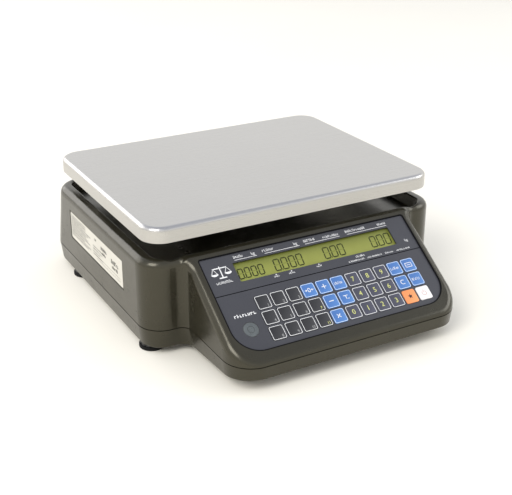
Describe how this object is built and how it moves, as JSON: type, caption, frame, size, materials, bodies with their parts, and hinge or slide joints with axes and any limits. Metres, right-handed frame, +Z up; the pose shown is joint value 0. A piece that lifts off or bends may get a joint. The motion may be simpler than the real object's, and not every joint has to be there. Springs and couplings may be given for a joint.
{
  "type": "price-computing counter scale",
  "caption": "Bench scale with a stainless platter over a dark two-part case, a sloping console with a wide liquid-crystal display and a block of square keys, and four levelling feet.",
  "frame": {"origin": "on the counter, under the middle of the whole object's bounding box", "axes": "+X to the operator's right, +Y away from the operator to the customer's side, +Z up"},
  "size_m": [0.382, 0.433, 0.1502],
  "materials": {
    "case_plastic": "glossy moulded",
    "panel_film": "satin film",
    "lcd": "reflective display glass",
    "level_window": "tinted clear window",
    "circuit_board": "solder mask",
    "transformer": "laminated core",
    "label_paper": "printed label",
    "aluminium": "machined",
    "black_casting": "black powder coat on die-cast aluminium",
    "stainless": "fine brushed",
    "rubber": "soft black",
    "black_plastic": "moulded",
    "zinc_screw": "zinc plated",
    "key_black": "satin",
    "key_blue": "satin",
    "key_violet": "satin",
    "key_orange": "satin",
    "key_white": "satin"
  },
  "bodies": {
    "base": {"upper_case": "case_plastic", "lower_case": "case_plastic", "case_screws": "zinc_screw", "display_panel": "panel_film", "keypad_overlay": "panel_film", "front_lcd": "lcd", "spirit_level": "level_window", "rear_bezel": "panel_film", "rear_lcd": "lcd", "power_inlet": "black_plastic", "inlet_pins": "zinc_screw", "rating_label": "label_paper", "circuit_boards": "circuit_board", "power_supply": "transformer", "load_cell_mount": "aluminium", "load_cell": "aluminium"},
    "load_platform": {"load_spider": "black_casting", "spider_pads": "rubber"},
    "platter": {"platter": "stainless"},
    "key_1_01": {"key_1_01": "key_black"},
    "key_1_02": {"key_1_02": "key_black"},
    "key_1_03": {"key_1_03": "key_black"},
    "key_1_04": {"key_1_04": "key_blue"},
    "key_1_05": {"key_1_05": "key_blue"},
    "key_1_06": {"key_1_06": "key_blue"},
    "key_1_07": {"key_1_07": "key_violet"},
    "key_1_08": {"key_1_08": "key_violet"},
    "key_1_09": {"key_1_09": "key_violet"},
    "key_1_10": {"key_1_10": "key_blue"},
    "key_1_11": {"key_1_11": "key_blue"},
    "key_2_01": {"key_2_01": "key_black"},
    "key_2_02": {"key_2_02": "key_black"},
    "key_2_03": {"key_2_03": "key_black"},
    "key_2_04": {"key_2_04": "key_black"},
    "key_2_05": {"key_2_05": "key_blue"},
    "key_2_06": {"key_2_06": "key_blue"},
    "key_2_07": {"key_2_07": "key_violet"},
    "key_2_08": {"key_2_08": "key_violet"},
    "key_2_09": {"key_2_09": "key_violet"},
    "key_2_10": {"key_2_10": "key_blue"},
    "key_2_11": {"key_2_11": "key_blue"},
    "key_3_01": {"key_3_01": "key_black"},
    "key_3_02": {"key_3_02": "key_black"},
    "key_3_03": {"key_3_03": "key_black"},
    "key_3_04": {"key_3_04": "key_black"},
    "key_3_05": {"key_3_05": "key_blue"},
    "key_3_06": {"key_3_06": "key_violet"},
    "key_3_07": {"key_3_07": "key_violet"},
    "key_3_08": {"key_3_08": "key_violet"},
    "key_3_09": {"key_3_09": "key_violet"},
    "key_3_10": {"key_3_10": "key_orange"},
    "key_3_11": {"key_3_11": "key_white"},
    "foot_pad_front_left": {"foot_pad_front_left": "rubber"},
    "foot_screw_front_left": {"foot_screw_front_left": "black_plastic"},
    "foot_pad_front_right": {"foot_pad_front_right": "rubber"},
    "foot_screw_front_right": {"foot_screw_front_right": "black_plastic"},
    "foot_pad_rear_left": {"foot_pad_rear_left": "rubber"},
    "foot_screw_rear_left": {"foot_screw_rear_left": "black_plastic"},
    "foot_pad_rear_right": {"foot_pad_rear_right": "rubber"},
    "foot_screw_rear_right": {"foot_screw_rear_right": "black_plastic"}
  },
  "joints": [
    {"name": "load_cell_bend", "type": "slide", "parent": "base", "child": "load_platform", "axis": [0, 0, 1], "range_m": [-0.0005, 0], "stiffness_N_per_m": 300000, "deforming": ["load_cell"]},
    {"name": "platter_lift", "type": "slide", "parent": "load_platform", "child": "platter", "axis": [0, 0, 1], "range_m": [0, 0.12]},
    {"name": "key_1_01_press", "type": "slide", "parent": "base", "child": "key_1_01", "axis": [0, 0.565, -0.8251], "range_m": [0, 0.0004], "stiffness_N_per_m": 2500},
    {"name": "key_1_02_press", "type": "slide", "parent": "base", "child": "key_1_02", "axis": [0, 0.565, -0.8251], "range_m": [0, 0.0004], "stiffness_N_per_m": 2500},
    {"name": "key_1_03_press", "type": "slide", "parent": "base", "child": "key_1_03", "axis": [0, 0.565, -0.8251], "range_m": [0, 0.0004], "stiffness_N_per_m": 2500},
    {"name": "key_1_04_press", "type": "slide", "parent": "base", "child": "key_1_04", "axis": [0, 0.565, -0.8251], "range_m": [0, 0.0004], "stiffness_N_per_m": 2500},
    {"name": "key_1_05_press", "type": "slide", "parent": "base", "child": "key_1_05", "axis": [0, 0.565, -0.8251], "range_m": [0, 0.0004], "stiffness_N_per_m": 2500},
    {"name": "key_1_06_press", "type": "slide", "parent": "base", "child": "key_1_06", "axis": [0, 0.565, -0.8251], "range_m": [0, 0.0004], "stiffness_N_per_m": 2500},
    {"name": "key_1_07_press", "type": "slide", "parent": "base", "child": "key_1_07", "axis": [0, 0.565, -0.8251], "range_m": [0, 0.0004], "stiffness_N_per_m": 2500},
    {"name": "key_1_08_press", "type": "slide", "parent": "base", "child": "key_1_08", "axis": [0, 0.565, -0.8251], "range_m": [0, 0.0004], "stiffness_N_per_m": 2500},
    {"name": "key_1_09_press", "type": "slide", "parent": "base", "child": "key_1_09", "axis": [0, 0.565, -0.8251], "range_m": [0, 0.0004], "stiffness_N_per_m": 2500},
    {"name": "key_1_10_press", "type": "slide", "parent": "base", "child": "key_1_10", "axis": [0, 0.565, -0.8251], "range_m": [0, 0.0004], "stiffness_N_per_m": 2500},
    {"name": "key_1_11_press", "type": "slide", "parent": "base", "child": "key_1_11", "axis": [0, 0.565, -0.8251], "range_m": [0, 0.0004], "stiffness_N_per_m": 2500},
    {"name": "key_2_01_press", "type": "slide", "parent": "base", "child": "key_2_01", "axis": [0, 0.565, -0.8251], "range_m": [0, 0.0004], "stiffness_N_per_m": 2500},
    {"name": "key_2_02_press", "type": "slide", "parent": "base", "child": "key_2_02", "axis": [0, 0.565, -0.8251], "range_m": [0, 0.0004], "stiffness_N_per_m": 2500},
    {"name": "key_2_03_press", "type": "slide", "parent": "base", "child": "key_2_03", "axis": [0, 0.565, -0.8251], "range_m": [0, 0.0004], "stiffness_N_per_m": 2500},
    {"name": "key_2_04_press", "type": "slide", "parent": "base", "child": "key_2_04", "axis": [0, 0.565, -0.8251], "range_m": [0, 0.0004], "stiffness_N_per_m": 2500},
    {"name": "key_2_05_press", "type": "slide", "parent": "base", "child": "key_2_05", "axis": [0, 0.565, -0.8251], "range_m": [0, 0.0004], "stiffness_N_per_m": 2500},
    {"name": "key_2_06_press", "type": "slide", "parent": "base", "child": "key_2_06", "axis": [0, 0.565, -0.8251], "range_m": [0, 0.0004], "stiffness_N_per_m": 2500},
    {"name": "key_2_07_press", "type": "slide", "parent": "base", "child": "key_2_07", "axis": [0, 0.565, -0.8251], "range_m": [0, 0.0004], "stiffness_N_per_m": 2500},
    {"name": "key_2_08_press", "type": "slide", "parent": "base", "child": "key_2_08", "axis": [0, 0.565, -0.8251], "range_m": [0, 0.0004], "stiffness_N_per_m": 2500},
    {"name": "key_2_09_press", "type": "slide", "parent": "base", "child": "key_2_09", "axis": [0, 0.565, -0.8251], "range_m": [0, 0.0004], "stiffness_N_per_m": 2500},
    {"name": "key_2_10_press", "type": "slide", "parent": "base", "child": "key_2_10", "axis": [0, 0.565, -0.8251], "range_m": [0, 0.0004], "stiffness_N_per_m": 2500},
    {"name": "key_2_11_press", "type": "slide", "parent": "base", "child": "key_2_11", "axis": [0, 0.565, -0.8251], "range_m": [0, 0.0004], "stiffness_N_per_m": 2500},
    {"name": "key_3_01_press", "type": "slide", "parent": "base", "child": "key_3_01", "axis": [0, 0.565, -0.8251], "range_m": [0, 0.0004], "stiffness_N_per_m": 2500},
    {"name": "key_3_02_press", "type": "slide", "parent": "base", "child": "key_3_02", "axis": [0, 0.565, -0.8251], "range_m": [0, 0.0004], "stiffness_N_per_m": 2500},
    {"name": "key_3_03_press", "type": "slide", "parent": "base", "child": "key_3_03", "axis": [0, 0.565, -0.8251], "range_m": [0, 0.0004], "stiffness_N_per_m": 2500},
    {"name": "key_3_04_press", "type": "slide", "parent": "base", "child": "key_3_04", "axis": [0, 0.565, -0.8251], "range_m": [0, 0.0004], "stiffness_N_per_m": 2500},
    {"name": "key_3_05_press", "type": "slide", "parent": "base", "child": "key_3_05", "axis": [0, 0.565, -0.8251], "range_m": [0, 0.0004], "stiffness_N_per_m": 2500},
    {"name": "key_3_06_press", "type": "slide", "parent": "base", "child": "key_3_06", "axis": [0, 0.565, -0.8251], "range_m": [0, 0.0004], "stiffness_N_per_m": 2500},
    {"name": "key_3_07_press", "type": "slide", "parent": "base", "child": "key_3_07", "axis": [0, 0.565, -0.8251], "range_m": [0, 0.0004], "stiffness_N_per_m": 2500},
    {"name": "key_3_08_press", "type": "slide", "parent": "base", "child": "key_3_08", "axis": [0, 0.565, -0.8251], "range_m": [0, 0.0004], "stiffness_N_per_m": 2500},
    {"name": "key_3_09_press", "type": "slide", "parent": "base", "child": "key_3_09", "axis": [0, 0.565, -0.8251], "range_m": [0, 0.0004], "stiffness_N_per_m": 2500},
    {"name": "key_3_10_press", "type": "slide", "parent": "base", "child": "key_3_10", "axis": [0, 0.565, -0.8251], "range_m": [0, 0.0004], "stiffness_N_per_m": 2500},
    {"name": "key_3_11_press", "type": "slide", "parent": "base", "child": "key_3_11", "axis": [0, 0.565, -0.8251], "range_m": [0, 0.0004], "stiffness_N_per_m": 2500},
    {"name": "foot_height_front_left", "type": "slide", "parent": "base", "child": "foot_pad_front_left", "axis": [0, 0, 1], "range_m": [-0.005, 0]},
    {"name": "foot_turn_front_left", "type": "hinge", "parent": "foot_pad_front_left", "child": "foot_screw_front_left", "pos_m": [-0.174, -0.068, 0.006], "axis": [0, 0, 1], "range_deg": [-1441, 1]},
    {"name": "foot_height_front_right", "type": "slide", "parent": "base", "child": "foot_pad_front_right", "axis": [0, 0, 1], "range_m": [-0.005, 0]},
    {"name": "foot_turn_front_right", "type": "hinge", "parent": "foot_pad_front_right", "child": "foot_screw_front_right", "pos_m": [0.174, -0.068, 0.006], "axis": [0, 0, 1], "range_deg": [-1441, 1]},
    {"name": "foot_height_rear_left", "type": "slide", "parent": "base", "child": "foot_pad_rear_left", "axis": [0, 0, 1], "range_m": [-0.005, 0]},
    {"name": "foot_turn_rear_left", "type": "hinge", "parent": "foot_pad_rear_left", "child": "foot_screw_rear_left", "pos_m": [-0.174, 0.145, 0.006], "axis": [0, 0, 1], "range_deg": [-1441, 1]},
    {"name": "foot_height_rear_right", "type": "slide", "parent": "base", "child": "foot_pad_rear_right", "axis": [0, 0, 1], "range_m": [-0.005, 0]},
    {"name": "foot_turn_rear_right", "type": "hinge", "parent": "foot_pad_rear_right", "child": "foot_screw_rear_right", "pos_m": [0.174, 0.145, 0.006], "axis": [0, 0, 1], "range_deg": [-1441, 1]}
  ],
  "couplings": [
    {"joint": "foot_turn_front_left", "follows": "foot_height_front_left", "rad_per_m": 5026.5},
    {"joint": "foot_turn_front_right", "follows": "foot_height_front_right", "rad_per_m": 5026.5},
    {"joint": "foot_turn_rear_left", "follows": "foot_height_rear_left", "rad_per_m": 5026.5},
    {"joint": "foot_turn_rear_right", "follows": "foot_height_rear_right", "rad_per_m": 5026.5}
  ]
}
